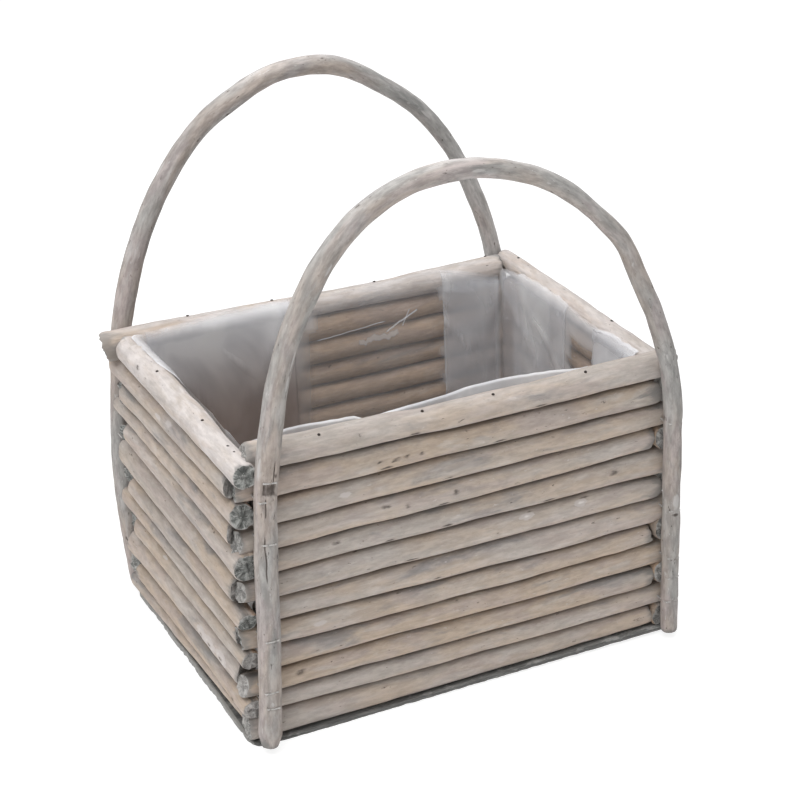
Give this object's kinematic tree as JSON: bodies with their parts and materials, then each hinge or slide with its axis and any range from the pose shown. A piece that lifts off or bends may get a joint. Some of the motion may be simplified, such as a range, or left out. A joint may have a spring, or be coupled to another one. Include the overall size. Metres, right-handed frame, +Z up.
{
  "type": "stick basket planter",
  "caption": "Rectangular planter basket of stacked peeled sticks locked at the corners, on a thin base board, with two bent-rod arch handles and a clear film liner.",
  "frame": {"origin": "on the ground under the middle of the base board", "axes": "+Z up, +X along the long walls, +Y from the front wall to the back wall"},
  "size_m": [0.303, 0.249, 0.3536],
  "materials": {
    "willow_stick": "peeled and weathered to a pale warm grey, dull",
    "bent_willow": "peeled and weathered to grey, dull, with lengthwise splits",
    "base_board": "dark grey stain, dull",
    "liner_film": "clear film, milky where it is folded",
    "staple_wire": "galvanised, dull"
  },
  "bodies": {
    "root": {"back_handle": "bent_willow", "back_left_lower_staple": "staple_wire", "back_left_upper_staple": "staple_wire", "back_right_lower_staple": "staple_wire", "back_right_upper_staple": "staple_wire", "back_stick_01": "willow_stick", "back_stick_02": "willow_stick", "back_stick_03": "willow_stick", "back_stick_04": "willow_stick", "back_stick_05": "willow_stick", "back_stick_06": "willow_stick", "back_stick_07": "willow_stick", "back_stick_08": "willow_stick", "back_stick_09": "willow_stick", "back_stick_10": "willow_stick", "back_stick_11": "willow_stick", "back_top_rail": "willow_stick", "base_board": "base_board", "film_liner": "liner_film", "front_handle": "bent_willow", "front_left_lower_staple": "staple_wire", "front_left_upper_staple": "staple_wire", "front_right_lower_staple": "staple_wire", "front_right_upper_staple": "staple_wire", "front_stick_01": "willow_stick", "front_stick_02": "willow_stick", "front_stick_03": "willow_stick", "front_stick_04": "willow_stick", "front_stick_05": "willow_stick", "front_stick_06": "willow_stick", "front_stick_07": "willow_stick", "front_stick_08": "willow_stick", "front_stick_09": "willow_stick", "front_stick_10": "willow_stick", "front_stick_11": "willow_stick", "front_top_rail": "willow_stick", "left_stick_01": "willow_stick", "left_stick_02": "willow_stick", "left_stick_03": "willow_stick", "left_stick_04": "willow_stick", "left_stick_05": "willow_stick", "left_stick_06": "willow_stick", "left_stick_07": "willow_stick", "left_stick_08": "willow_stick", "left_stick_09": "willow_stick", "left_stick_10": "willow_stick", "left_stick_11": "willow_stick", "left_top_rail": "willow_stick", "right_stick_01": "willow_stick", "right_stick_02": "willow_stick", "right_stick_03": "willow_stick", "right_stick_04": "willow_stick", "right_stick_05": "willow_stick", "right_stick_06": "willow_stick", "right_stick_07": "willow_stick", "right_stick_08": "willow_stick", "right_stick_09": "willow_stick", "right_stick_10": "willow_stick", "right_stick_11": "willow_stick", "right_top_rail": "willow_stick"}
  },
  "joints": []
}
